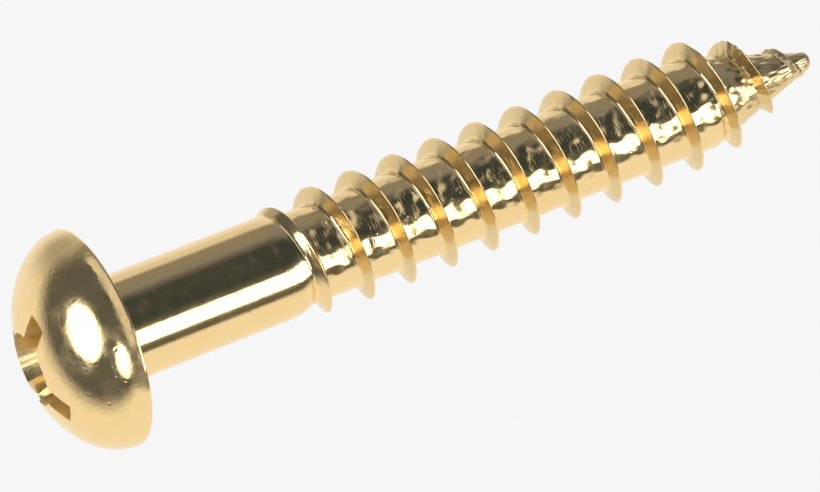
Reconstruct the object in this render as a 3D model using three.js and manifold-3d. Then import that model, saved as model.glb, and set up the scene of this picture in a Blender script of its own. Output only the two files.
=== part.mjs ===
// Round-head wood screw with a cross recess: one bar of plated steel, split into the zones a maker names.
// Millimetres, +Z up. The axis is Z, the head's bearing plane is z = 0, and the point hangs straight down.
import * as THREE from 'three';
import { mergeVertices } from 'three/addons/utils/BufferGeometryUtils.js';
import Module from 'manifold-3d';

// Head
const HEAD_RADIUS = 3.1;
const HEAD_HEIGHT = 2.1;
const RIM_RADIUS = 0.07;
const HEAD_SEGMENTS = 48;
const DOME_STEPS = 12;
const RIM_STEPS = 3;

// Cross recess
const RECESS_MOUTH_RADIUS = 1.82;
const RECESS_ROOT_RADIUS = 1.1;
const RECESS_FLOOR_RADIUS = 0.4;
const RECESS_FLOOR_THICKNESS = 0.25;
const RECESS_FLOOR_SLOPE = THREE.MathUtils.degToRad(21);
const WING_WIDTH_MOUTH = 0.68;
const WING_WIDTH_ROOT = 0.56;
const CORE_RADIUS_MOUTH = 1.06;
const CORE_RADIUS_ROOT = 0.75;
const RECESS_TURN = THREE.MathUtils.degToRad(35.4);
const CUTTER_OVERRUN = 0.5;

// Shank
const SHANK_RADIUS = 1.475;
const SHANK_LENGTH = 5.05;
const NECK_FILLET = 0.14;
const FILLET_STEPS = 4;

// Thread
const LENGTH_UNDER_HEAD = 22.05;
const PITCH = 1.27;
const CREST_RADIUS = 1.73;
const ROOT_RADIUS = 1.29;
const CREST_LAND = 0.03;
const UPPER_FLANK = 0.2;
const LOWER_FLANK = 0.12;
const FLANK_HOLLOW = 0.32;
const RUNOUT_TAPER = 0.75;
const RUNOUT_TURNS = 0.75;
const RUNOUT_LENGTH = PITCH;
const START_ANGLE = THREE.MathUtils.degToRad(194);

// Point
const POINT_LENGTH = 3.55;
const TIP_RADIUS = 0.22;
const FADE_LENGTH = 2.3;
const FADE_POWER = 1.2;

// Mesh density of the turned surfaces
const STEPS_PER_TURN = 32;
const SNAP = 0.02;

const THREAD_START_Z = -SHANK_LENGTH;
const RUNOUT_END_Z = THREAD_START_Z - RUNOUT_LENGTH;
const POINT_TOP_Z = POINT_LENGTH - LENGTH_UNDER_HEAD;
const TIP_Z = -LENGTH_UNDER_HEAD;
const RIDGE_HEIGHT = CREST_RADIUS - ROOT_RADIUS;

const wasm = await Module();
wasm.setup();

/** Merge shared vertices and drop the triangles that collapse, leaving positions only. */
function tidyGeometry(geometry) {
  geometry.deleteAttribute('normal');
  geometry.deleteAttribute('uv');
  const merged = mergeVertices(geometry, 1e-5);
  const corners = merged.getIndex().array;
  const kept = [];
  for (let i = 0; i < corners.length; i += 3) {
    const [a, b, c] = [corners[i], corners[i + 1], corners[i + 2]];
    if (a !== b && b !== c && c !== a) kept.push(a, b, c);
  }
  merged.setIndex(kept);
  return merged;
}

/** Turn a closed geometry into a solid that can be cut and joined. */
function solidOf(geometry) {
  const merged = tidyGeometry(geometry);
  const vertProperties = new Float32Array(merged.getAttribute('position').array);
  const triVerts = new Uint32Array(merged.getIndex().array);
  return new wasm.Manifold(new wasm.Mesh({ numProp: 3, vertProperties, triVerts }));
}

/** Turn a solid back into a geometry. */
function geometryOf(solid) {
  const mesh = solid.getMesh();
  const geometry = new THREE.BufferGeometry();
  geometry.setAttribute('position', new THREE.BufferAttribute(mesh.vertProperties, 3));
  geometry.setIndex(new THREE.BufferAttribute(mesh.triVerts, 1));
  return geometry;
}

/** Spin an outline of (radius, height) points about Z. The outline runs upwards. */
function turned(outline, segments) {
  const points = outline.map(([radius, height]) => new THREE.Vector2(radius, height));
  return new THREE.LatheGeometry(points, segments).rotateX(Math.PI / 2);
}

/** Height of the dome above the bearing plane at a radius. */
function domeHeight(radius) {
  const rise = HEAD_HEIGHT - RIM_RADIUS;
  return RIM_RADIUS + rise * Math.sqrt(1 - (radius / HEAD_RADIUS) ** 2);
}

/** The head before its recess is punched: flat underside, rounded rim, domed top. */
function headBlank() {
  const seatRadius = SHANK_RADIUS + NECK_FILLET;
  const outline = [[0, 0], [seatRadius, 0]];
  const rimCentre = HEAD_RADIUS - RIM_RADIUS;
  for (let i = 0; i <= RIM_STEPS; i += 1) {
    const angle = (i / RIM_STEPS) * Math.PI / 2;
    outline.push([rimCentre + RIM_RADIUS * Math.sin(angle), RIM_RADIUS * (1 - Math.cos(angle))]);
  }
  for (let i = 1; i < DOME_STEPS; i += 1) {
    const radius = HEAD_RADIUS * Math.cos((i / DOME_STEPS) * Math.PI / 2);
    outline.push([radius, domeHeight(radius)]);
  }
  outline.push([0, HEAD_HEIGHT]);
  return solidOf(turned(outline, HEAD_SEGMENTS));
}

/** One blade of the recess punch: a box across the axis that narrows towards its foot. */
function punchBlade(angle, footZ, mouthZ) {
  const topZ = HEAD_HEIGHT + CUTTER_OVERRUN;
  const taper = (WING_WIDTH_MOUTH - WING_WIDTH_ROOT) / (mouthZ - footZ);
  const topWidth = WING_WIDTH_ROOT + taper * (topZ - footZ);
  const reach = 2 * HEAD_RADIUS;
  const blade = new THREE.BoxGeometry(reach, topWidth, topZ - footZ);
  const corners = blade.getAttribute('position');
  for (let i = 0; i < corners.count; i += 1) {
    if (corners.getZ(i) < 0) corners.setY(i, corners.getY(i) * (WING_WIDTH_ROOT / topWidth));
  }
  blade.translate(0, 0, (topZ + footZ) / 2);
  blade.rotateZ(angle);
  return solidOf(blade);
}

/** The shape the recess punch leaves: four tapered wings round a core, over a blunt conical floor. */
function recessPunch() {
  const floorZ = RECESS_FLOOR_THICKNESS;
  const rootZ = floorZ + (RECESS_ROOT_RADIUS - RECESS_FLOOR_RADIUS) * Math.tan(RECESS_FLOOR_SLOPE);
  const mouthZ = domeHeight(RECESS_MOUTH_RADIUS);
  const wingLean = (RECESS_MOUTH_RADIUS - RECESS_ROOT_RADIUS) / (mouthZ - rootZ);
  const topZ = HEAD_HEIGHT + CUTTER_OVERRUN;
  const topRadius = RECESS_ROOT_RADIUS + wingLean * (topZ - rootZ);
  const envelopeOutline = [
    [0, floorZ],
    [RECESS_FLOOR_RADIUS, floorZ],
    [RECESS_ROOT_RADIUS, rootZ],
    [topRadius, topZ],
    [0, topZ],
  ];
  const envelope = solidOf(turned(envelopeOutline, STEPS_PER_TURN));
  const coreLean = (CORE_RADIUS_MOUTH - CORE_RADIUS_ROOT) / (mouthZ - rootZ);
  const footZ = floorZ - CUTTER_OVERRUN;
  const coreTopZ = topZ + CUTTER_OVERRUN;
  const coreOutline = [
    [0, footZ],
    [CORE_RADIUS_ROOT + coreLean * (footZ - rootZ), footZ],
    [CORE_RADIUS_ROOT + coreLean * (coreTopZ - rootZ), coreTopZ],
    [0, coreTopZ],
  ];
  const core = solidOf(turned(coreOutline, STEPS_PER_TURN));
  const oneBlade = punchBlade(RECESS_TURN, footZ, mouthZ);
  const otherBlade = punchBlade(RECESS_TURN + Math.PI / 2, footZ, mouthZ);
  return oneBlade.add(otherBlade).add(core).intersect(envelope);
}

/** Domed head with its driving recess. */
function headGeometry() {
  return geometryOf(headBlank().subtract(recessPunch()));
}

/** Plain shank, with the small fillet that blends it into the head. */
function shankGeometry() {
  const outline = [[0, THREAD_START_Z], [SHANK_RADIUS, THREAD_START_Z]];
  for (let i = 0; i <= FILLET_STEPS; i += 1) {
    const angle = (i / FILLET_STEPS) * Math.PI / 2;
    const radius = SHANK_RADIUS + NECK_FILLET * (1 - Math.cos(angle));
    outline.push([radius, NECK_FILLET * (Math.sin(angle) - 1)]);
  }
  outline.push([0, 0]);
  return tidyGeometry(turned(outline, STEPS_PER_TURN));
}

/** Radius of the bar without its ridge: shank, taper to the root, root, cone and round tip. */
function coreRadius(z) {
  const depth = THREAD_START_Z - z;
  if (depth < RUNOUT_TAPER) {
    return THREE.MathUtils.mapLinear(Math.max(depth, 0), 0, RUNOUT_TAPER, SHANK_RADIUS, ROOT_RADIUS);
  }
  if (z > POINT_TOP_Z) return ROOT_RADIUS;
  const ballZ = TIP_Z + TIP_RADIUS;
  if (z > ballZ) return THREE.MathUtils.mapLinear(z, POINT_TOP_Z, ballZ, ROOT_RADIUS, TIP_RADIUS);
  return Math.sqrt(Math.max(TIP_RADIUS ** 2 - (ballZ - z) ** 2, 0));
}

/** Height of the crest above the bar: it grows over the first part turn and fades towards the tip. */
function ridgeHeight(crestZ) {
  const growth = THREE.MathUtils.clamp((THREAD_START_Z - crestZ) / (RUNOUT_TURNS * PITCH), 0, 1);
  const fade = THREE.MathUtils.clamp((crestZ - TIP_Z) / FADE_LENGTH, 0, 1) ** FADE_POWER;
  return RIDGE_HEIGHT * Math.min(growth, fade);
}

/** Share of the crest height at a signed axial distance from the crest; the flanks are slightly hollow. */
function flankShare(offset) {
  const flank = offset > 0 ? UPPER_FLANK : LOWER_FLANK;
  const run = (Math.abs(offset) - CREST_LAND / 2) / flank;
  const share = THREE.MathUtils.clamp(1 - run, 0, 1);
  return share * (1 - FLANK_HOLLOW * (1 - share));
}

/** Radius of the threaded bar at a height and at a share of one turn round it. */
function barRadius(z, turn) {
  const turnsDown = (THREAD_START_Z - z) / PITCH - turn;
  const crestZ = THREAD_START_Z - PITCH * (Math.round(turnsDown) + turn);
  const core = coreRadius(z);
  const ridgeTop = core + ridgeHeight(crestZ) * flankShare(z - crestZ);
  return Math.min(ridgeTop, Math.max(core, CREST_RADIUS));
}

/**
 * A length of threaded bar between two heights. Its columns run round the axis and its rows follow the
 * helix, so the crest is one unbroken edge. Rows past either end fold onto that end's rim.
 */
function threadedGeometry(topZ, bottomZ) {
  const half = CREST_LAND / 2;
  const rowDrops = [-half, half, half + LOWER_FLANK / 2, half + LOWER_FLANK,
    PITCH - half - UPPER_FLANK, PITCH - half - UPPER_FLANK / 2];
  const rowsPerPitch = rowDrops.length;
  const firstPitch = Math.floor((THREAD_START_Z - topZ) / PITCH) - 2;
  const lastPitch = Math.ceil((THREAD_START_Z - bottomZ) / PITCH) + 2;
  const rowCount = (lastPitch - firstPitch) * rowsPerPitch;
  const positions = [];
  for (let column = 0; column < STEPS_PER_TURN; column += 1) {
    const turn = column / STEPS_PER_TURN;
    const angle = START_ANGLE - turn * 2 * Math.PI;
    for (let row = 0; row < rowCount; row += 1) {
      const pitches = firstPitch + Math.floor(row / rowsPerPitch) + turn;
      const z = THREAD_START_Z - PITCH * pitches - rowDrops[row % rowsPerPitch];
      const height = snapped(z, topZ, bottomZ);
      const radius = barRadius(height, turn);
      positions.push(radius * Math.cos(angle), radius * Math.sin(angle), height);
    }
  }
  const topCentre = positions.length / 3;
  const bottomCentre = topCentre + 1;
  positions.push(0, 0, topZ, 0, 0, bottomZ);
  const index = [];
  for (let column = 0; column < STEPS_PER_TURN; column += 1) {
    const wraps = column === STEPS_PER_TURN - 1;
    const here = column * rowCount;
    const next = wraps ? rowsPerPitch : here + rowCount;
    const rows = wraps ? rowCount - rowsPerPitch : rowCount;
    for (let row = 0; row < rows - 1; row += 1) {
      index.push(here + row, next + row, here + row + 1);
      index.push(next + row, next + row + 1, here + row + 1);
    }
    index.push(topCentre, next, here);
    index.push(bottomCentre, here + rows - 1, next + rows - 1);
  }
  const geometry = new THREE.BufferGeometry();
  geometry.setAttribute('position', new THREE.Float32BufferAttribute(positions, 3));
  geometry.setIndex(index);
  return tidyGeometry(geometry);
}

/** Hold a height between two end planes, and pull one that lies almost on a plane onto it. */
function snapped(z, topZ, bottomZ) {
  if (z > topZ - SNAP) return topZ;
  if (z < bottomZ + SNAP) return bottomZ;
  return z;
}

/** Bright gold plate, as every zone of the screw has. */
function goldPlate() {
  return new THREE.MeshStandardMaterial({ color: 0xe6c98a, roughness: 0.16, metalness: 1 });
}

const zones = {
  head: headGeometry(),
  shank: shankGeometry(),
  thread_runout: threadedGeometry(THREAD_START_Z, RUNOUT_END_Z),
  thread: threadedGeometry(RUNOUT_END_Z, POINT_TOP_Z),
  point: threadedGeometry(POINT_TOP_Z, TIP_Z),
};

const woodScrew = new THREE.Group();
for (const [name, geometry] of Object.entries(zones)) {
  const mesh = new THREE.Mesh(geometry, goldPlate());
  mesh.name = name;
  woodScrew.add(mesh);
}

export default woodScrew;
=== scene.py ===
"""Round-head wood screw with a cross recess, in bright gold plate, on a plain pale floor.

The screw stands on its point with its axis on Z. Every length is in metres, in the frame's own axes: the
head's bearing plane is z = 0 and the point hangs below it. Each named zone of the screw is a class that holds
its sizes, builds its mesh and dresses it. The studio is a class of its own.
"""
import logging
import math
from dataclasses import dataclass, field
from enum import Enum

import bpy
import numpy as np
from mathutils import Matrix, Vector


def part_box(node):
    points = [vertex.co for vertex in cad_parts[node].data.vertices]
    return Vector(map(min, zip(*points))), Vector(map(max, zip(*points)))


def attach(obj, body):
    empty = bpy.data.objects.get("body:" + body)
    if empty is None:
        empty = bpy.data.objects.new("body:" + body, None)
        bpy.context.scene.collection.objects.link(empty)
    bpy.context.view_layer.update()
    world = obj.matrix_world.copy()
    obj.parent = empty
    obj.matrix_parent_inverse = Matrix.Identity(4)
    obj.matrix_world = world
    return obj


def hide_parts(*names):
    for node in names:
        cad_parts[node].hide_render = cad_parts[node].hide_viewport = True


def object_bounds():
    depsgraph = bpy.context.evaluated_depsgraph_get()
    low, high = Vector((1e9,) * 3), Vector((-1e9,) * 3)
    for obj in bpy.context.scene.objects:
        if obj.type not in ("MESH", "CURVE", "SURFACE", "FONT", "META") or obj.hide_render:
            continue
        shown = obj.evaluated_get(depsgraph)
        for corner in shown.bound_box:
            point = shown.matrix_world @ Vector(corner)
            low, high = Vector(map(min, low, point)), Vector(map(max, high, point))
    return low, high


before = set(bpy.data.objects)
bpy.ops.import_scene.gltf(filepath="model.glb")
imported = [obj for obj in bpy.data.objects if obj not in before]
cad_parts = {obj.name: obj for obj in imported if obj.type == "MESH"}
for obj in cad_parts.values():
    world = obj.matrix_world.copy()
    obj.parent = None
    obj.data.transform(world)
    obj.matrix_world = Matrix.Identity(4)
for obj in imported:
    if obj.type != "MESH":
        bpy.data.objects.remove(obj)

CAD_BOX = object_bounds()
MM = 0.001
FULL_TURN = 2 * math.pi
LOG = logging.getLogger("wood_screw")


class Node(Enum):
    """The frame's nodes, from the head down to the point."""

    HEAD = "head"
    SHANK = "shank"
    RUNOUT = "thread_runout"
    THREAD = "thread"
    POINT = "point"


def linear(hex_colour: str) -> tuple[float, float, float, float]:
    """Turn an sRGB colour such as "#E8C98A" into linear red, green, blue and alpha.

    Args:
        hex_colour: six hexadecimal digits after a hash sign.

    Returns:
        The linear colour with full alpha.
    """
    channels = [int(hex_colour[i:i + 2], 16) / 255 for i in (1, 3, 5)]
    curve = [c / 12.92 if c <= 0.04045 else ((c + 0.055) / 1.055) ** 2.4 for c in channels]
    return (*curve, 1.0)


def add_node(tree: bpy.types.NodeTree, kind: str, inputs: dict | None = None,
             **settings: object) -> bpy.types.Node:
    """Add a shader node, set its properties, and fill or link its inputs.

    Args:
        tree: the node tree that gets the node.
        kind: the node's type name.
        inputs: socket name or number to a value, or to the output socket that feeds it.
        settings: the node's own properties.

    Returns:
        The new node.
    """
    node = tree.nodes.new(kind)
    for name, value in settings.items():
        setattr(node, name, value)
    for name, value in (inputs or {}).items():
        if isinstance(value, bpy.types.NodeSocket):
            tree.links.new(value, node.inputs[name])
        else:
            node.inputs[name].default_value = value
    return node


@dataclass(frozen=True)
class GoldPlate:
    """Bright gold electroplate over polished nickel on steel, a few micrometres thick.

    Barrel plating copies the metal below: the drawn shank and the headed dome stay mirror-smooth with fine
    handling marks, and the rolled thread keeps the small pits and drag lines of the thread dies. The eye
    sees a pale yellow mirror, with deeper gold wherever gold reflects gold.

    Attributes:
        name: the material's name.
        colour: the plate's reflection colour, where it is clean.
        deep_colour: the colour where the plate is a little thicker.
        roughness: how blurred the mirror is between scratches.
        haze: share by which the roughness rises and falls from place to place.
        peel_mm: width of the plate's slight waviness.
        peel_depth_mm: height of that waviness.
        grain_mm: width of the finer unevenness left by forming.
        grain_depth_mm: height of that unevenness.
        dent_mm: spacing of the small dents from tumbling against other screws, or 0 for none.
        dent_depth_mm: depth of a dent.
        drag_mm: width of the drag lines that run round the axis. Real ones are finer, and these are drawn
            coarser so that they show. 0 is none.
        drag_depth_mm: depth of the drag lines.
        worn_roughness: roughness where the mesh's "wear_and_shade" value is 1, or 0 for a piece that wasn't
            rolled.
        painted_shade_colour: darker colour where "wear_and_shade" is 1, a painted shade on flanks and point.
    """

    name: str
    colour: str = "#FFE8B9"
    deep_colour: str = "#FADCA4"
    roughness: float = 0.11
    haze: float = 0.25
    peel_mm: float = 0.5
    peel_depth_mm: float = 0.0012
    grain_mm: float = 0.14
    grain_depth_mm: float = 0.0004
    dent_mm: float = 0.0
    dent_depth_mm: float = 0.003
    drag_mm: float = 0.0
    drag_depth_mm: float = 0.001
    worn_roughness: float = 0.0
    # Painted shade: darker than the clean plate, for the flanks and the point.
    painted_shade_colour: str = "#E0CB9E"

    def bump(self, tree: bpy.types.NodeTree, height: bpy.types.NodeSocket, depth_mm: float,
             below: bpy.types.NodeSocket | None) -> bpy.types.NodeSocket:
        """Add one layer of relief on top of another.

        Args:
            tree: the material's node tree.
            height: the relief, from 0 to 1.
            depth_mm: its full height. On a rolled piece the mesh's "rolled" value scales it.
            below: the normal to add to, if any.

        Returns:
            The normal with the layer added.
        """
        strength = 1.0
        if self.worn_roughness > 0 and below is not None:
            strength = add_node(tree, "ShaderNodeAttribute", attribute_name="rolled").outputs["Fac"]
        inputs = {"Height": height, "Distance": depth_mm * MM, "Strength": strength}
        if below is not None:
            inputs["Normal"] = below
        return add_node(tree, "ShaderNodeBump", inputs).outputs["Normal"]

    def noise(self, tree: bpy.types.NodeTree, place: bpy.types.NodeSocket, width_mm: float,
              detail: float = 2.0) -> bpy.types.NodeSocket:
        """Add soft noise with features of a real width."""
        inputs = {"Vector": place, "Scale": 1 / (width_mm * MM), "Detail": detail}
        return add_node(tree, "ShaderNodeTexNoise", inputs).outputs["Fac"]

    def dents(self, tree: bpy.types.NodeTree, place: bpy.types.NodeSocket) -> bpy.types.NodeSocket:
        """Add scattered small dents of uneven depth: 1 on the level, lower inside a dent."""
        dent_reach = 0.34
        level_share = 0.45
        full_depth_share = 0.95
        cells = add_node(tree, "ShaderNodeTexVoronoi", {"Vector": place, "Scale": 1 / (self.dent_mm * MM)})
        hollow = add_node(tree, "ShaderNodeMapRange", {
            "Value": cells.outputs["Distance"], "From Min": dent_reach,
            "From Max": 0.0}, interpolation_type="SMOOTHSTEP")
        chance = add_node(tree, "ShaderNodeMapRange", {
            "Value": cells.outputs["Color"], "From Min": level_share, "From Max": full_depth_share})
        depth = add_node(tree, "ShaderNodeMath", {0: hollow.outputs[0], 1: chance.outputs[0]},
                         operation="MULTIPLY")
        height = add_node(tree, "ShaderNodeMath", {0: 1.0, 1: depth.outputs[0]}, operation="SUBTRACT")
        return height.outputs[0]

    def drag_lines(self, tree: bpy.types.NodeTree, place: bpy.types.NodeSocket) -> bpy.types.NodeSocket:
        """Add sparse thin lines that run round the axis, as the thread dies leave them."""
        line_length = 0.3 * MM
        line_foot = 0.56
        line_top = 0.72
        stretched = add_node(tree, "ShaderNodeMapping", {"Vector": place, "Scale": (
            1 / line_length, 1 / line_length, 1 / (self.drag_mm * MM))}).outputs["Vector"]
        lines = add_node(tree, "ShaderNodeTexNoise", {"Vector": stretched, "Scale": 1.0, "Detail": 2.0})
        return add_node(tree, "ShaderNodeMapRange", {
            "Value": lines.outputs["Fac"], "From Min": line_foot, "From Max": line_top}).outputs["Result"]

    def material(self) -> bpy.types.Material:
        """Build the plate's node material.

        Returns:
            The material, ready to assign.
        """
        material = bpy.data.materials.new(self.name)
        material.use_nodes = True
        tree = material.node_tree
        tree.nodes.clear()
        place = add_node(tree, "ShaderNodeTexCoord").outputs["Object"]
        normal = self.bump(tree, self.noise(tree, place, self.peel_mm), self.peel_depth_mm, None)
        normal = self.bump(tree, self.noise(tree, place, self.grain_mm, 3.0), self.grain_depth_mm, normal)
        if self.dent_mm > 0:
            normal = self.bump(tree, self.dents(tree, place), self.dent_depth_mm, normal)
        if self.drag_mm > 0:
            normal = self.bump(tree, self.drag_lines(tree, place), self.drag_depth_mm, normal)
        tone_mm = 1.6
        haze_mm = 0.45
        haze_low = 0.35
        haze_high = 0.65
        tone = self.noise(tree, place, tone_mm, 4.0)
        colour = add_node(tree, "ShaderNodeMix", {"Factor": tone, 6: linear(self.colour),
                                                  7: linear(self.deep_colour)}, data_type="RGBA").outputs[2]
        patches = self.noise(tree, place, haze_mm, 5.0)
        rough = add_node(tree, "ShaderNodeMapRange", {
            "Value": patches, "From Min": haze_low, "From Max": haze_high,
            "To Min": self.roughness * (1 - self.haze),
            "To Max": self.roughness * (1 + self.haze)}).outputs["Result"]
        if self.worn_roughness > 0:
            wear_and_shade = add_node(tree, "ShaderNodeAttribute", attribute_name="wear_and_shade").outputs["Fac"]
            rough = add_node(tree, "ShaderNodeMix", {"Factor": wear_and_shade, 2: rough, 3: self.worn_roughness},
                             data_type="FLOAT").outputs[0]
            # Painted shade as well as wear: the flanks and the point also take the darker colour.
            colour = add_node(tree, "ShaderNodeMix", {"Factor": wear_and_shade, 6: colour, 7: linear(self.painted_shade_colour)},
                              data_type="RGBA").outputs[2]
        gold = add_node(tree, "ShaderNodeBsdfPrincipled", {"Base Color": colour, "Metallic": 1.0,
                                                           "Roughness": rough, "Normal": normal})
        add_node(tree, "ShaderNodeOutputMaterial", {"Surface": gold.outputs["BSDF"]})
        return material


# Plate over a cold-headed dome: a soft-edged mirror with the small dents of tumbling. Its dark reflections
# look slightly mottled, and its highlights have uneven edges.
HEADED_PLATE = GoldPlate("gold_plate_headed", roughness=0.15, haze=0.5, grain_mm=0.14, grain_depth_mm=0.0034,
                         dent_mm=0.22, dent_depth_mm=0.005)
# Plate over drawn wire: the cleanest mirror on the screw, with long straight reflections.
DRAWN_PLATE = GoldPlate("gold_plate_drawn", roughness=0.1, grain_depth_mm=0.0008, dent_mm=0.3,
                        dent_depth_mm=0.0016)
# Plate over rolled thread: a mirror on the root, broken into blotches by pits and drag lines, and duller on
# the flanks and the point, where the dies rubbed. There it also takes a darker colour, a painted shade.
ROLLED_PLATE = GoldPlate("gold_plate_rolled", roughness=0.11, haze=0.4, grain_mm=0.12, grain_depth_mm=0.0012,
                         dent_mm=0.16, dent_depth_mm=0.004, drag_mm=0.05, drag_depth_mm=0.001,
                         worn_roughness=0.3)
# Plate in the punched recess: thin and dull on torn metal, so its walls look brown-gold and soft.
PUNCHED_PLATE = GoldPlate("gold_plate_punched", colour="#F0DCB0", deep_colour="#E4CA98", roughness=0.3,
                          grain_depth_mm=0.006)


def new_piece(name: str, mesh: bpy.types.Mesh) -> bpy.types.Object:
    """Link a mesh into the scene as a new object at the origin."""
    piece = bpy.data.objects.new(name, mesh)
    bpy.context.scene.collection.objects.link(piece)
    return piece


def settle(piece: bpy.types.Object, node: Node, finish: GoldPlate) -> bpy.types.Object:
    """Give a piece its material and its place in the assembly.

    Args:
        piece: the finished object.
        node: the frame's node that it stands for.
        finish: the surface that it gets.

    Returns:
        The same object.
    """
    if len(piece.data.materials) == 0:
        piece.data.materials.append(bpy.data.materials.get(finish.name) or finish.material())
    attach(piece, "root")
    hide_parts(node.value)
    LOG.info("%s: %d faces for node %s", piece.name, len(piece.data.polygons), node.value)
    return piece


def welded_mesh(name: str, places: np.ndarray, faces: list[tuple[int, ...]]) -> bpy.types.Mesh:
    """Make a mesh in which points at the same place are one vertex and collapsed faces are gone.

    Args:
        name: the mesh's name.
        places: one row of x, y, z for each point.
        faces: tuples of point numbers, outward side first.

    Returns:
        The welded mesh, smooth-shaded.
    """
    weld_distance = 0.00001 * MM
    grid = np.round(places / weld_distance).astype(np.int64)
    _, first, where = np.unique(grid, axis=0, return_index=True, return_inverse=True)
    where = where.reshape(-1)
    kept = []
    for face in faces:
        corners = [int(where[i]) for i in face]
        corners = [c for i, c in enumerate(corners) if c != corners[i - 1]]
        if len(set(corners)) > 2:
            kept.append(corners)
    mesh = bpy.data.meshes.new(name)
    mesh.from_pydata(places[first].tolist(), [], kept)
    mesh.shade_smooth()
    return mesh


@dataclass
class ThreadForm:
    """The rolled thread and the bar it stands on, as one surface round the axis.

    Attributes:
        shank_radius: radius of the plain shank.
        start_z: height at which the plain shank ends and the thread starts.
        tip_z: height of the very end of the point.
        cone_top_z: height at which the root starts to narrow towards the point.
        pitch: distance between crests along the axis.
        crest_radius: radius over the crests.
        root_radius: radius of the root.
        crest_land: width of the crest's rounded top.
        upper_flank: axial run of the flank that faces the head.
        lower_flank: axial run of the flank that faces the point.
        fillet: share of the ridge's height that blends into the root, above and below the foot.
        hollow: how far the flanks bow inwards, as a share of the height.
        taper: length over which the shank rounds down to the root.
        growth_start: share of a turn before the ridge shows.
        growth_turns: turns over which it then rises to full height.
        growth_power: how fast it rises at first, where 1 is evenly.
        broaden: how much wider the ridge is where it has no height yet.
        fade: length of the point over which the ridge sinks.
        fade_power: how late the ridge sinks, where 1 is evenly.
        tip_radius: radius of the rounded end.
        start_turn: where round the axis the ridge starts, in degrees from +X.
        flank_wear_and_shade: how dull the flanks are and how dark their painted shade is, from 0 to 1.
        point_wear_and_shade: how dull the point is and how dark its painted shade is.
        lump: height of the soft lumps that rolling leaves on the surface.
        point_lump: their height on the point, where the dies pinch the metal.
    """

    shank_radius: float
    start_z: float
    tip_z: float
    cone_top_z: float
    pitch: float = 1.27 * MM
    crest_radius: float = 1.73 * MM
    root_radius: float = 1.29 * MM
    crest_land: float = 0.05 * MM
    upper_flank: float = 0.2 * MM
    lower_flank: float = 0.09 * MM
    fillet: float = 0.25
    hollow: float = 0.12
    taper: float = 0.9 * MM
    growth_start: float = 0.1
    growth_turns: float = 1.35
    growth_power: float = 0.6
    broaden: float = 0.6
    fade: float = 2.3 * MM
    fade_power: float = 1.2
    tip_radius: float = 0.28 * MM
    start_turn: float = 194.0
    flank_wear_and_shade: float = 0.65
    point_wear_and_shade: float = 0.7
    lump: float = 0.0035 * MM
    point_lump: float = 0.016 * MM

    def core_radius(self, z: np.ndarray) -> np.ndarray:
        """Radius of the bar without its ridge, from the shank to the rounded tip."""
        ball_z = self.tip_z + self.tip_radius
        turned = np.interp(z, [ball_z, self.cone_top_z], [self.tip_radius, self.root_radius])
        down = np.clip((self.start_z - z) / self.taper, 0, 1)
        turned = turned + (self.shank_radius - self.root_radius) * (1 - down ** 3)
        ball = np.sqrt(np.maximum(self.tip_radius ** 2 - np.maximum(ball_z - z, 0) ** 2, 0))
        return np.where(z < ball_z, ball, turned)

    def growth(self, crest_z: np.ndarray) -> np.ndarray:
        """Share of its full height that the ridge has reached below the shank."""
        turns = (self.start_z - crest_z) / self.pitch
        return np.clip((turns - self.growth_start) / self.growth_turns, 0, 1) ** self.growth_power

    def ridge_height(self, crest_z: np.ndarray) -> np.ndarray:
        """Height of the ridge above the bar for a crest at this height."""
        fade = np.clip((crest_z - self.tip_z) / self.fade, 0, 1) ** self.fade_power
        return (self.crest_radius - self.root_radius) * np.minimum(self.growth(crest_z), fade)

    def flank_share(self, offset: np.ndarray) -> np.ndarray:
        """Share of the ridge's height at a signed distance along the axis from its crest."""
        run = np.where(offset > 0, self.upper_flank, self.lower_flank)
        half = self.crest_land / 2
        away = np.abs(offset)
        drop = self.crest_land / (4 * run)
        crest = 1 - drop * (away / half) ** 2
        flank = 1 - drop - (away - half) / run
        blend = np.clip(flank + self.fillet, 0, 2 * self.fillet) ** 2 / (4 * self.fillet)
        flank = np.where(flank > self.fillet, flank, blend)
        share = np.where(away < half, crest, flank)
        return share * (1 - self.hollow * (1 - share))

    def place_on_ridge(self, z: np.ndarray, turn: np.ndarray) -> tuple[np.ndarray, np.ndarray]:
        """Find the nearest crest and the share of its height that the surface has here.

        Args:
            z: height.
            turn: share of one turn down from the start of the ridge.

        Returns:
            The height of the nearest crest on Z, and the share of the ridge from 0 to 1.
        """
        turns_down = np.round((self.start_z - z) / self.pitch - turn)
        crest_z = self.start_z - self.pitch * (turns_down + turn)
        width = 1 + self.broaden * (1 - self.growth(crest_z))
        return crest_z, self.flank_share((z - crest_z) / width)

    def radius(self, z: np.ndarray, turn: np.ndarray) -> np.ndarray:
        """Radius of the finished surface.

        Args:
            z: height.
            turn: share of one turn down from the start of the ridge.

        Returns:
            The distance from the axis.
        """
        crest_z, share = self.place_on_ridge(z, turn)
        core = self.core_radius(z)
        smooth = np.minimum(core + self.ridge_height(crest_z) * share, np.maximum(core, self.crest_radius))
        return smooth + self.lumps(z, turn) * np.minimum(core / self.root_radius, 1)

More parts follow.
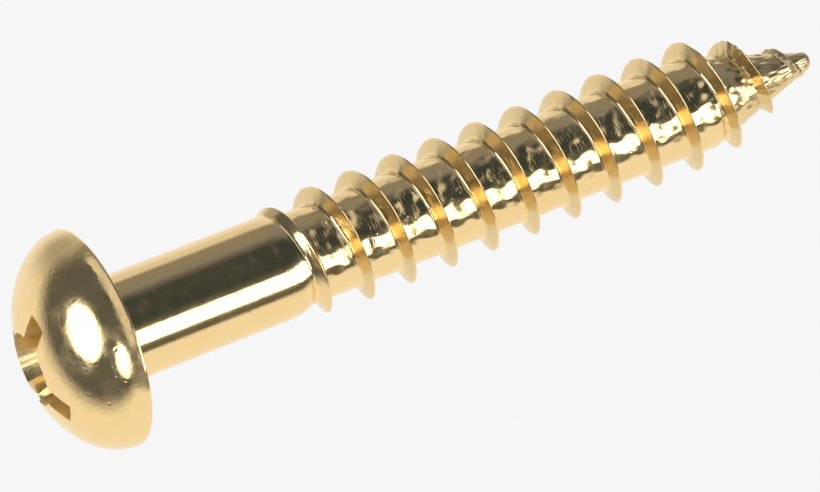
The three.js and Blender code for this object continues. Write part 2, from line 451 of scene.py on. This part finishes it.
    def lumps(self, z: np.ndarray, turn: np.ndarray) -> np.ndarray:
        """Height of the uneven metal: a few crossing waves, none at the shank and most at the point."""
        angle = math.radians(self.start_turn) - turn * FULL_TURN
        places = np.stack([np.cos(angle) * self.root_radius, np.sin(angle) * self.root_radius, z], axis=-1)
        dice = np.random.default_rng(11)
        total = np.zeros(z.shape)
        waves = 14
        for _ in range(waves):
            course = dice.normal(size=3)
            wave_length = dice.uniform(0.25, 0.6) * MM
            course *= FULL_TURN / (wave_length * np.linalg.norm(course))
            total += np.sin(places @ course + dice.uniform(0, FULL_TURN))
        rolled = np.clip((self.start_z - self.taper / 2 - z) / self.pitch, 0, 1)
        pointed = np.clip((self.cone_top_z + self.pitch - z) / (2 * self.pitch), 0, 1)
        height = self.lump * rolled + (self.point_lump - self.lump) * pointed ** 2
        return height * total / math.sqrt(waves / 2)

    def wear_and_shade(self, z: np.ndarray, turn: np.ndarray) -> np.ndarray:
        """Dullness from the dies plus painted shade: none on the root and the crest, more on flanks and
        point.
        """
        foot = 0.08
        foot_blend = 0.2
        crest_blend = 0.12
        point_blend = 1.4 * MM
        crest_z, share = self.place_on_ridge(z, turn)
        flank = np.clip((share - foot) / foot_blend, 0, 1) * np.clip((1 - share) / crest_blend, 0, 1)
        point = np.clip((self.cone_top_z - z) / point_blend, 0, 1)
        return np.maximum(self.flank_wear_and_shade * flank * self.growth(crest_z) ** 3, self.point_wear_and_shade * point)

    def rolled(self, z: np.ndarray) -> np.ndarray:
        """How far the dies have marked the surface: 0 where the shank ends, 1 a little below it."""
        return np.clip((self.start_z - z) / (0.5 * self.pitch), 0, 1)

    def normals(self, z: np.ndarray, turn: np.ndarray) -> np.ndarray:
        """Outward normals of the surface, by small differences of its radius."""
        step_z = 0.002 * MM
        step_turn = 0.0005
        here = np.maximum(self.radius(z, turn), 0.001 * MM)
        slope_z = (self.radius(z + step_z, turn) - self.radius(z - step_z, turn)) / (2 * step_z)
        slope_turn = (self.radius(z, turn + step_turn) - self.radius(z, turn - step_turn)) / (2 * step_turn)
        slope_angle = -slope_turn / FULL_TURN
        angle = math.radians(self.start_turn) - turn * FULL_TURN
        lean = slope_angle / here
        across = np.cos(angle) + lean * np.sin(angle)
        along = np.sin(angle) - lean * np.cos(angle)
        stacked = np.stack([across, along, -slope_z], axis=-1)
        return stacked / np.linalg.norm(stacked, axis=-1, keepdims=True)

    def row_drops(self) -> np.ndarray:
        """Where the mesh has rows within one pitch: dense on the ridge, open on the root."""
        half = self.crest_land / 2
        crest = np.linspace(-half, half, 6)
        lower_end = half + self.lower_flank * (1 + self.fillet)
        upper_end = self.pitch - half - self.upper_flank * (1 + self.fillet)
        lower = np.linspace(half, lower_end, 13)[1:]
        root = np.linspace(lower_end, upper_end, 11)[1:]
        upper = np.linspace(upper_end, self.pitch - half, 15)[1:-1]
        return np.concatenate([crest, lower, root, upper])


@dataclass
class ThreadedBar:
    """One zone of the threaded bar between two flat planes across the axis.

    Attributes:
        node: the frame's node that it stands for.
        form: the thread's surface.
        top_z: height of its upper plane.
        bottom_z: height of its lower plane.
        columns: steps round the axis.
    """

    node: Node
    form: ThreadForm
    top_z: float
    bottom_z: float
    columns: int = 144

    def build_mesh(self) -> bpy.types.Mesh:
        """Build the zone's closed mesh on rows that follow the helix.

        Returns:
            The mesh, with the true normals of the surface.
        """
        form = self.form
        drops = form.row_drops()
        per_pitch = len(drops)
        first = math.floor((form.start_z - self.top_z) / form.pitch) - 2
        last = math.ceil((form.start_z - self.bottom_z) / form.pitch) + 2
        pitches = np.repeat(np.arange(first, last), per_pitch)
        rows = pitches * form.pitch + np.tile(drops, last - first)
        turn = np.arange(self.columns)[:, None] / self.columns
        z = form.start_z - form.pitch * turn - rows[None, :]
        z = np.clip(z, self.bottom_z, self.top_z)
        turn = np.broadcast_to(turn, z.shape)
        radius = form.radius(z, turn)
        angle = math.radians(form.start_turn) - turn * FULL_TURN
        places = np.stack([radius * np.cos(angle), radius * np.sin(angle), z], axis=-1).reshape(-1, 3)
        places = np.vstack([places, [[0, 0, self.top_z], [0, 0, self.bottom_z]]])
        faces = self.lattice_faces(len(rows), per_pitch)
        mesh = welded_mesh(self.node.value, places, faces)
        self.set_normals(mesh)
        return mesh

    def lattice_faces(self, rows: int, per_pitch: int) -> list[tuple[int, ...]]:
        """List the faces of the lattice and of its two flat ends.

        Args:
            rows: rows in each column.
            per_pitch: rows that one turn drops by.

        Returns:
            Tuples of point numbers.
        """
        faces = []
        top_centre = self.columns * rows
        for column in range(self.columns):
            wraps = column == self.columns - 1
            here = column * rows
            beside = per_pitch if wraps else here + rows
            count = rows - per_pitch if wraps else rows
            faces += [(here + i, beside + i, beside + i + 1, here + i + 1) for i in range(count - 1)]
            faces.append((top_centre, beside, here))
            faces.append((top_centre + 1, here + count - 1, beside + count - 1))
        return faces

    def set_normals(self, mesh: bpy.types.Mesh) -> None:
        """Give the round side its dullness and painted shade, its own normals, and the flat ends theirs."""
        count = len(mesh.vertices)
        places = np.zeros(count * 3)
        mesh.vertices.foreach_get("co", places)
        places = places.reshape(-1, 3)
        angle = np.arctan2(places[:, 1], places[:, 0])
        turn = ((math.radians(self.form.start_turn) - angle) / FULL_TURN) % 1.0
        wear_and_shade = mesh.attributes.new("wear_and_shade", "FLOAT", "POINT")
        wear_and_shade.data.foreach_set("value", self.form.wear_and_shade(places[:, 2], turn))
        rolled = mesh.attributes.new("rolled", "FLOAT", "POINT")
        rolled.data.foreach_set("value", self.form.rolled(places[:, 2]))
        normals = self.form.normals(places[:, 2], turn)
        normals[np.hypot(places[:, 0], places[:, 1]) < 0.002 * MM] = (0, 0, -1)
        corner_vertex = np.zeros(len(mesh.loops), dtype=np.int64)
        mesh.loops.foreach_get("vertex_index", corner_vertex)
        corner_normals = normals[corner_vertex]
        for face in mesh.polygons:
            if abs(face.normal.z) > 0.9999:
                flat = (0, 0, math.copysign(1, face.normal.z))
                corner_normals[face.loop_start:face.loop_start + face.loop_total] = flat
        mesh.normals_split_custom_set(corner_normals.tolist())

    def make(self) -> bpy.types.Object:
        """Build and dress the zone."""
        return settle(new_piece(f"{self.node.value}_rolled", self.build_mesh()), self.node, ROLLED_PLATE)


@dataclass
class Shank:
    """The plain shank, with the small fillet that blends it into the head.

    Attributes:
        radius: radius of the shank under the head.
        taper: how much less its radius is at the thread, where the dies squeeze the wire.
        top_z: height of the head's bearing plane.
        bottom_z: height at which the thread starts.
        fillet: radius of the fillet under the head.
        columns: steps round the axis.
    """

    radius: float
    taper: float
    top_z: float
    bottom_z: float
    fillet: float
    columns: int = 192

    def outline(self) -> list[tuple[float, float]]:
        """Radius and height along the side, from the thread up to the head."""
        length = self.top_z - self.fillet - self.bottom_z
        points = []
        for share in np.linspace(0, 1, 24):
            points.append((self.radius - self.taper * (1 - share), self.bottom_z + length * share))
        for angle in np.linspace(0, math.pi / 2, 9)[1:]:
            radius = self.radius + self.fillet * (1 - math.cos(angle))
            points.append((radius, self.top_z - self.fillet * (1 - math.sin(angle))))
        return points

    def make(self) -> bpy.types.Object:
        """Build and dress the shank."""
        closed = [(0, self.bottom_z), *self.outline(), (0, self.top_z)]
        piece = new_piece("shank_drawn", turned_mesh(Node.SHANK.value, closed, self.columns))
        sharpen(piece, math.radians(40))
        return settle(piece, Node.SHANK, DRAWN_PLATE)


def turned_mesh(name: str, outline: list[tuple[float, float]], columns: int) -> bpy.types.Mesh:
    """Spin an outline about Z into a closed mesh.

    Args:
        name: the mesh's name.
        outline: radius and height, from the bottom of the axis to its top.
        columns: steps round the axis.

    Returns:
        The closed mesh.
    """
    angle = np.arange(columns) * FULL_TURN / columns
    radius = np.array([point[0] for point in outline])
    height = np.array([point[1] for point in outline])
    places = np.stack([np.outer(np.cos(angle), radius), np.outer(np.sin(angle), radius),
                       np.broadcast_to(height, (columns, len(outline)))], axis=-1).reshape(-1, 3)
    rows = len(outline)
    faces = []
    for column in range(columns):
        here = column * rows
        beside = ((column + 1) % columns) * rows
        faces += [(here + i, beside + i, beside + i + 1, here + i + 1) for i in range(rows - 1)]
    return welded_mesh(name, places, faces)


def sharpen(piece: bpy.types.Object, angle: float) -> None:
    """Keep edges sharper than an angle as hard edges, and smooth the rest."""
    with bpy.context.temp_override(object=piece, active_object=piece, selected_objects=[piece],
                                   selected_editable_objects=[piece]):
        bpy.ops.object.shade_smooth_by_angle(angle=angle, keep_sharp_edges=True)


def apply_modifiers(piece: bpy.types.Object) -> None:
    """Turn a piece's modifiers into mesh."""
    graph = bpy.context.evaluated_depsgraph_get()
    mesh = bpy.data.meshes.new_from_object(piece.evaluated_get(graph))
    piece.modifiers.clear()
    piece.data = mesh


@dataclass
class Head:
    """The domed head with the cross recess that drives the screw.

    Attributes:
        radius: radius of the head.
        height: height of the dome's crown above the bearing plane, before the recess is punched.
        seat_radius: radius at which the underside meets the shank's fillet.
        rim: radius of the rounded rim.
        sunk: how far the dome's middle plane lies below the top of the rim.
        crown_lean: how far the crown leans towards -X, as a share of its height.
        mouth_radius: reach of a wing at the dome.
        root_radius: reach of a wing at the recess's foot.
        floor_radius: radius of the blunt floor.
        floor_thickness: metal left under the floor, down to the bearing plane.
        floor_slope: slope of the cone round the floor.
        wing_mouth: width of a wing at the dome.
        wing_root: width of a wing at the foot.
        core_mouth: radius of the round core at the dome.
        core_root: radius of the core at the foot.
        recess_turn: where round the axis the first wing lies, in degrees from +X.
        edge: width of the soft edge that the plate leaves.
        off_centre: how far the punch struck from the axis, as it does on cheap screws.
        columns: steps round the axis.
    """

    radius: float
    height: float = 2.1 * MM
    seat_radius: float = 1.615 * MM
    rim: float = 0.05 * MM
    sunk: float = 0.05 * MM
    crown_lean: float = 0.035
    mouth_radius: float = 1.82 * MM
    root_radius: float = 1.1 * MM
    floor_radius: float = 0.4 * MM
    floor_thickness: float = 0.25 * MM
    floor_slope: float = math.radians(21)
    wing_mouth: float = 0.68 * MM
    wing_root: float = 0.56 * MM
    core_mouth: float = 1.0 * MM
    core_root: float = 0.75 * MM
    recess_turn: float = 35.4
    edge: float = 0.055 * MM
    off_centre: tuple[float, float] = (-0.09 * MM, 0.42 * MM)
    columns: int = 192

    def dome_height(self, radius: float) -> float:
        """Height of the dome at a radius."""
        base = self.rim - self.sunk
        crown = self.height - base
        full_radius = self.radius / math.sqrt(1 - (self.sunk / crown) ** 2)
        return base + crown * math.sqrt(1 - (radius / full_radius) ** 2)

    def blank(self) -> bpy.types.Object:
        """The head before its recess is punched."""
        points = [(0, 0), (self.seat_radius, 0), (0.5 * (self.seat_radius + self.radius), 0)]
        for angle in np.linspace(0, math.pi / 2, 7):
            points.append((self.radius - self.rim * (1 - math.sin(angle)), self.rim * (1 - math.cos(angle))))
        for angle in np.linspace(0, math.pi / 2, 56)[1:-1]:
            radius = self.radius * math.cos(angle)
            points.append((radius, self.dome_height(radius)))
        points.append((0, self.height))
        return new_piece("head_forged", turned_mesh("head", points, self.columns))

    def punch(self) -> bpy.types.Object:
        """The solid that the punch leaves as a recess: four tapered wings, a core and a blunt cone."""
        floor_z = self.floor_thickness
        root_z = floor_z + (self.root_radius - self.floor_radius) * math.tan(self.floor_slope)
        mouth_z = self.dome_height(self.mouth_radius)
        top_z = self.height + 0.5 * MM
        foot_z = floor_z - 0.5 * MM
        lean = (self.mouth_radius - self.root_radius) / (mouth_z - root_z)
        outline = [(0, floor_z), (self.floor_radius, floor_z), (self.root_radius, root_z),
                   (self.root_radius + lean * (top_z - root_z), top_z), (0, top_z)]
        envelope = enlarged(new_piece("punch", turned_mesh("punch", outline, self.columns)))
        core_lean = (self.core_mouth - self.core_root) / (mouth_z - root_z)
        core_top = top_z + 0.2 * MM
        core = enlarged(new_piece("punch_core", turned_mesh("punch_core", [
            (0, foot_z), (self.core_root + core_lean * (foot_z - root_z), foot_z),
            (self.core_root + core_lean * (core_top - root_z), core_top), (0, core_top)], 48)))
        taper = (self.wing_mouth - self.wing_root) / (mouth_z - foot_z)
        for quarter in (0, 90):
            blade = self.blade(foot_z, top_z + 0.3 * MM, taper, math.radians(self.recess_turn + quarter))
            combine(core, enlarged(blade), "UNION")
        combine(envelope, core, "INTERSECT")
        envelope.data.transform(Matrix.Translation((self.off_centre[0] / MM, self.off_centre[1] / MM, 0)))
        return envelope

    def blade(self, foot_z: float, top_z: float, taper: float, angle: float) -> bpy.types.Object:
        """One straight blade of the punch, narrower at its foot."""
        half_foot = self.wing_root / 2
        half_top = half_foot + taper * (top_z - foot_z) / 2
        reach = 2 * self.radius
        corners = []
        for z, half in ((foot_z, half_foot), (top_z, half_top)):
            corners += [(-reach, -half, z), (reach, -half, z), (reach, half, z), (-reach, half, z)]
        mesh = bpy.data.meshes.new("blade")
        sides = [(0, 1, 5, 4), (1, 2, 6, 5), (2, 3, 7, 6), (3, 0, 4, 7)]
        mesh.from_pydata(corners, [], [(3, 2, 1, 0), (4, 5, 6, 7), *sides])
        mesh.transform(Matrix.Rotation(angle, 4, "Z"))
        return new_piece("blade", mesh)

    def dress(self, piece: bpy.types.Object) -> None:
        """Give the head its own plate outside, and a duller one on the walls of the recess."""
        # Cutting the recess leaves empty material slots, which would come before the plates.
        piece.data.materials.clear()
        piece.data.materials.append(HEADED_PLATE.material())
        piece.data.materials.append(PUNCHED_PLATE.material())
        for face in piece.data.polygons:
            out = math.hypot(face.center.x, face.center.y)
            below = self.dome_height(min(out, self.radius)) - face.center.z
            in_reach = out < self.mouth_radius + math.hypot(*self.off_centre)
            in_recess = in_reach and below > 1.5 * self.edge and face.center.z > 0.5 * self.floor_thickness
            face.material_index = int(in_recess)

    def make(self) -> bpy.types.Object:
        """Build and dress the head."""
        piece = enlarged(self.blank())
        combine(piece, self.punch(), "DIFFERENCE")
        bevel = piece.modifiers.new("edges", "BEVEL")
        bevel.width = self.edge / MM
        bevel.segments = 3
        bevel.limit_method = "ANGLE"
        bevel.angle_limit = math.radians(28)
        apply_modifiers(piece)
        piece.data.transform(Matrix.Scale(MM, 4))
        lean = Matrix.Identity(4)
        lean[0][2] = -self.crown_lean
        piece.data.transform(lean)
        sharpen(piece, math.radians(35))
        weighted = piece.modifiers.new("normals", "WEIGHTED_NORMAL")
        weighted.keep_sharp = True
        apply_modifiers(piece)
        self.dress(piece)
        return settle(piece, Node.HEAD, HEADED_PLATE)


def enlarged(piece: bpy.types.Object) -> bpy.types.Object:
    """Blow a piece up from metres to millimetres, so that cutting it isn't upset by tiny lengths."""
    piece.data.transform(Matrix.Scale(1 / MM, 4))
    return piece


def combine(piece: bpy.types.Object, other: bpy.types.Object, operation: str) -> None:
    """Cut or join a piece with another solid, which is used up."""
    boolean = piece.modifiers.new("cut", "BOOLEAN")
    boolean.object = other
    boolean.operation = operation
    boolean.solver = "MANIFOLD"
    apply_modifiers(piece)
    bpy.data.objects.remove(other)


def direction(turn: float, tilt: float) -> Vector:
    """Unit vector by its turn round the axis from +Y through +X, and its tilt from +Z, in degrees."""
    turn, tilt = math.radians(turn), math.radians(tilt)
    return Vector((math.sin(tilt) * math.sin(turn), math.sin(tilt) * math.cos(turn), math.cos(tilt)))


class Outline(Enum):
    """The outline of a light as the screw sees it."""

    ROUND = "round"
    SQUARE = "square"


@dataclass(frozen=True)
class SoftBox:
    """A soft light or a grey card, by where it stands as seen from the screw.

    Attributes:
        turn: direction round the screw's axis, in degrees from +Y through +X.
        tilt: angle down from the axis's upper end, in degrees.
        width: how wide it looks, in degrees.
        height: how tall it looks, in degrees.
        soft: width of its soft edge, in degrees.
        colour: its linear colour, where 1 is a white wall.
        outline: its outline.
    """

    turn: float
    tilt: float
    width: float
    height: float
    soft: float
    colour: tuple[float, float, float]
    outline: Outline = Outline.ROUND

    def axes(self) -> tuple[Vector, Vector, Vector]:
        """Unit vectors towards the light, across it and up it."""
        towards = direction(self.turn, self.tilt)
        across = towards.cross(Vector((0, 0, 1))).normalized()
        return towards, across, across.cross(towards)


@dataclass(frozen=True)
class Shade:
    """A large soft-edged area of the room round one direction.

    Attributes:
        turn: direction round the screw's axis, in degrees from +Y through +X.
        tilt: angle down from the axis's upper end, in degrees.
        inner: angle from its middle within which it has its full colour.
        outer: angle from its middle at which it ends.
        colour: its linear colour.
    """

    turn: float
    tilt: float
    inner: float
    outer: float
    colour: tuple[float, float, float]


@dataclass
class Studio:
    """A white room with dark sides, soft lights, a pale floor and the camera.

    Attributes:
        wall: colour of the floor, and of the background behind it.
        warm_wall: colour of the room's walls, which only the metal sees.
        shades: the grey and dark areas, from the back of the room forwards.
        lights: the soft lights and cards in front of them.
        elevation: the camera's height above the horizon, in degrees.
        roll: how far the picture's long side is turned from the screw's axis, in degrees.
        distance: from the camera to the screw.
        aim_z: height on the axis that the picture is centred near.
        aim_across: shift of the picture's centre to its left.
        aim_up: shift of the picture's centre downwards.
        lens: focal length in millimetres on a 36 mm sensor.
        floor_size: width of the floor.
    """

    wall: str = "#F6F6F6"
    warm_wall: str = "#F6EFDF"
    shades: list[Shade] = field(default_factory=lambda: [
        Shade(turn=62, tilt=82, inner=8, outer=40, colour=(0.42, 0.41, 0.37)),
        Shade(turn=161, tilt=110, inner=77, outer=88, colour=(0.27, 0.26, 0.22)),
        Shade(turn=140, tilt=155, inner=40, outer=62, colour=(0.24, 0.24, 0.26)),
        Shade(turn=163, tilt=42, inner=64, outer=86, colour=(0.112, 0.12, 0.118)),
        Shade(turn=156, tilt=113, inner=20, outer=46, colour=(0.042, 0.054, 0.062)),
    ])
    lights: list[SoftBox] = field(default_factory=lambda: [
        SoftBox(turn=150, tilt=96, width=104, height=20, soft=3, colour=(0.76, 0.72, 0.63),
                outline=Outline.SQUARE),
        SoftBox(turn=242, tilt=122, width=13, height=34, soft=5, colour=(0.12, 0.12, 0.1),
                outline=Outline.SQUARE),
        SoftBox(turn=155, tilt=21, width=44, height=44, soft=9, colour=(4.0, 3.9, 3.6)),
        SoftBox(turn=212, tilt=67, width=33, height=24, soft=4, colour=(3.0, 2.9, 2.6)),
        SoftBox(turn=214, tilt=128, width=31, height=42, soft=3, colour=(3.0, 2.9, 2.6),
                outline=Outline.SQUARE),
    ])
    elevation: float = 19.74
    roll: float = 21.42
    distance: float = 428.7 * MM
    aim_z: float = -9.9 * MM
    aim_across: float = 0.32 * MM
    aim_up: float = 0.96 * MM
    lens: float = 696.5
    floor_size: float = 3.0

    def make_camera(self) -> None:
        """Place the camera and make it the scene's own."""
        lift = math.radians(self.elevation)
        roll = math.radians(self.roll)
        back = Vector((0, -math.cos(lift), math.sin(lift)))
        right = Vector((-math.sin(roll), -math.sin(lift) * math.cos(roll), -math.cos(lift) * math.cos(roll)))
        up = back.cross(right)
        aim = Vector((0, 0, self.aim_z)) - self.aim_across * right - self.aim_up * up
        camera_data = bpy.data.cameras.new("camera")
        camera_data.lens = self.lens
        camera_data.sensor_width = 36.0
        camera_data.clip_start = 0.01
        camera_data.clip_end = 10.0
        camera = bpy.data.objects.new("camera", camera_data)
        bpy.context.scene.collection.objects.link(camera)
        turn = Matrix((right, up, back)).transposed().to_4x4()
        camera.matrix_world = Matrix.Translation(aim + self.distance * back) @ turn
        bpy.context.scene.camera = camera

    def make_floor(self) -> None:
        """Lay the plain pale floor under the point. It is lit evenly and isn't seen in the metal."""
        half = self.floor_size / 2
        z = CAD_BOX[0].z
        mesh = bpy.data.meshes.new("floor")
        corners = [(-half, -half, z), (half, -half, z), (half, half, z), (-half, half, z)]
        mesh.from_pydata(corners, [], [(0, 1, 2, 3)])
        floor = new_piece("floor", mesh)
        material = bpy.data.materials.new("pale_floor")
        material.use_nodes = True
        tree = material.node_tree
        tree.nodes.clear()
        glow = add_node(tree, "ShaderNodeEmission", {"Color": linear(self.wall), "Strength": 1.0})
        add_node(tree, "ShaderNodeOutputMaterial", {"Surface": glow.outputs["Emission"]})
        mesh.materials.append(material)
        floor.visible_glossy = False
        floor.visible_diffuse = False
        floor.visible_shadow = False

    def make_room(self) -> None:
        """Build the room as the world: white walls, its dark areas and the lights."""
        scene = bpy.context.scene
        scene.view_settings.view_transform = "Standard"
        world = bpy.data.worlds.new("studio")
        scene.world = world
        world.use_nodes = True
        tree = world.node_tree
        tree.nodes.clear()
        ray = add_node(tree, "ShaderNodeTexCoord").outputs["Generated"]
        colour = linear(self.warm_wall)
        for shade in self.shades:
            amount = self.shade_amount(tree, ray, shade)
            colour = add_node(tree, "ShaderNodeMix", {"Factor": amount, 6: colour, 7: (*shade.colour, 1.0)},
                              data_type="RGBA").outputs[2]
        for light in self.lights:
            amount = self.light_amount(tree, ray, light)
            colour = add_node(tree, "ShaderNodeMix", {"Factor": amount, 6: colour, 7: (*light.colour, 1.0)},
                              data_type="RGBA").outputs[2]
        direct = add_node(tree, "ShaderNodeLightPath").outputs["Is Camera Ray"]
        seen = add_node(tree, "ShaderNodeMix", {"Factor": direct, 6: colour, 7: linear(self.wall)},
                        data_type="RGBA")
        background = add_node(tree, "ShaderNodeBackground", {"Color": seen.outputs[2], "Strength": 1.0})
        add_node(tree, "ShaderNodeOutputWorld", {"Surface": background.outputs["Background"]})

    def shade_amount(self, tree: bpy.types.NodeTree, ray: bpy.types.NodeSocket,
                     shade: Shade) -> bpy.types.NodeSocket:
        """Add the nodes that say how far a ray meets a shade.

        Args:
            tree: the world's node tree.
            ray: the ray's direction.
            shade: the area.

        Returns:
            A socket that is 1 inside the area and 0 outside.
        """
        middle = direction(shade.turn, shade.tilt)
        nearness = add_node(tree, "ShaderNodeVectorMath", {0: ray, 1: middle}, operation="DOT_PRODUCT")
        angle = add_node(tree, "ShaderNodeMath", {0: nearness.outputs["Value"]}, operation="ARCCOSINE")
        return add_node(tree, "ShaderNodeMapRange", {
            "Value": angle.outputs[0], "From Min": math.radians(shade.outer),
            "From Max": math.radians(shade.inner)}, interpolation_type="SMOOTHSTEP").outputs["Result"]

    def light_amount(self, tree: bpy.types.NodeTree, ray: bpy.types.NodeSocket,
                     light: SoftBox) -> bpy.types.NodeSocket:
        """Add the nodes that say how far a ray meets a light.

        Args:
            tree: the world's node tree.
            ray: the ray's direction.
            light: the light.

        Returns:
            A socket that is 1 inside the light and 0 outside.
        """
        towards, across, up = light.axes()
        depth = add_node(tree, "ShaderNodeVectorMath", {0: ray, 1: towards}, operation="DOT_PRODUCT")
        ahead = add_node(tree, "ShaderNodeMath", {0: depth.outputs["Value"], 1: 0.001}, operation="MAXIMUM")
        shares = []
        for axis, size in ((across, light.width), (up, light.height)):
            side = add_node(tree, "ShaderNodeVectorMath", {0: ray, 1: axis}, operation="DOT_PRODUCT")
            slope = add_node(tree, "ShaderNodeMath", {0: side.outputs["Value"], 1: ahead.outputs[0]},
                             operation="DIVIDE")
            reach = add_node(tree, "ShaderNodeMath", {0: slope.outputs[0]}, operation="ABSOLUTE")
            half = math.tan(math.radians(size / 2))
            shares.append(add_node(tree, "ShaderNodeMath", {0: reach.outputs[0], 1: half},
                                   operation="DIVIDE").outputs[0])
        if light.outline is Outline.ROUND:
            pair = add_node(tree, "ShaderNodeCombineXYZ", {"X": shares[0], "Y": shares[1]})
            length = add_node(tree, "ShaderNodeVectorMath", {0: pair.outputs[0]}, operation="LENGTH")
            reach = length.outputs["Value"]
        else:
            larger = add_node(tree, "ShaderNodeMath", {0: shares[0], 1: shares[1]}, operation="MAXIMUM")
            reach = larger.outputs[0]
        edge = light.soft / min(light.width, light.height)
        return add_node(tree, "ShaderNodeMapRange", {
            "Value": reach, "From Min": 1 + edge,
            "From Max": 1 - edge}, interpolation_type="SMOOTHSTEP").outputs["Result"]


def main() -> None:
    """Build the studio and the screw, zone by zone from the head down, and report each piece."""
    logging.basicConfig(level=logging.INFO, format="%(message)s")
    studio = Studio()
    studio.make_camera()
    studio.make_room()
    studio.make_floor()
    head_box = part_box(Node.HEAD.value)
    shank_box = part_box(Node.SHANK.value)
    runout_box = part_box(Node.RUNOUT.value)
    thread_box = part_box(Node.THREAD.value)
    point_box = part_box(Node.POINT.value)
    fillet = 0.14 * MM
    shank_radius = shank_box[1].x - fillet
    taper = 0.02 * MM
    worn_tip = 0.1 * MM
    form = ThreadForm(shank_radius=shank_radius - taper, start_z=runout_box[1].z,
                      tip_z=point_box[0].z + worn_tip, cone_top_z=point_box[1].z)
    Head(radius=head_box[1].x).make()
    Shank(radius=shank_radius, taper=taper, top_z=shank_box[1].z, bottom_z=shank_box[0].z,
          fillet=fillet).make()
    ThreadedBar(Node.RUNOUT, form, runout_box[1].z, runout_box[0].z).make()
    ThreadedBar(Node.THREAD, form, thread_box[1].z, thread_box[0].z).make()
    ThreadedBar(Node.POINT, form, point_box[1].z, form.tip_z).make()


if __name__ == "__main__":
    main()
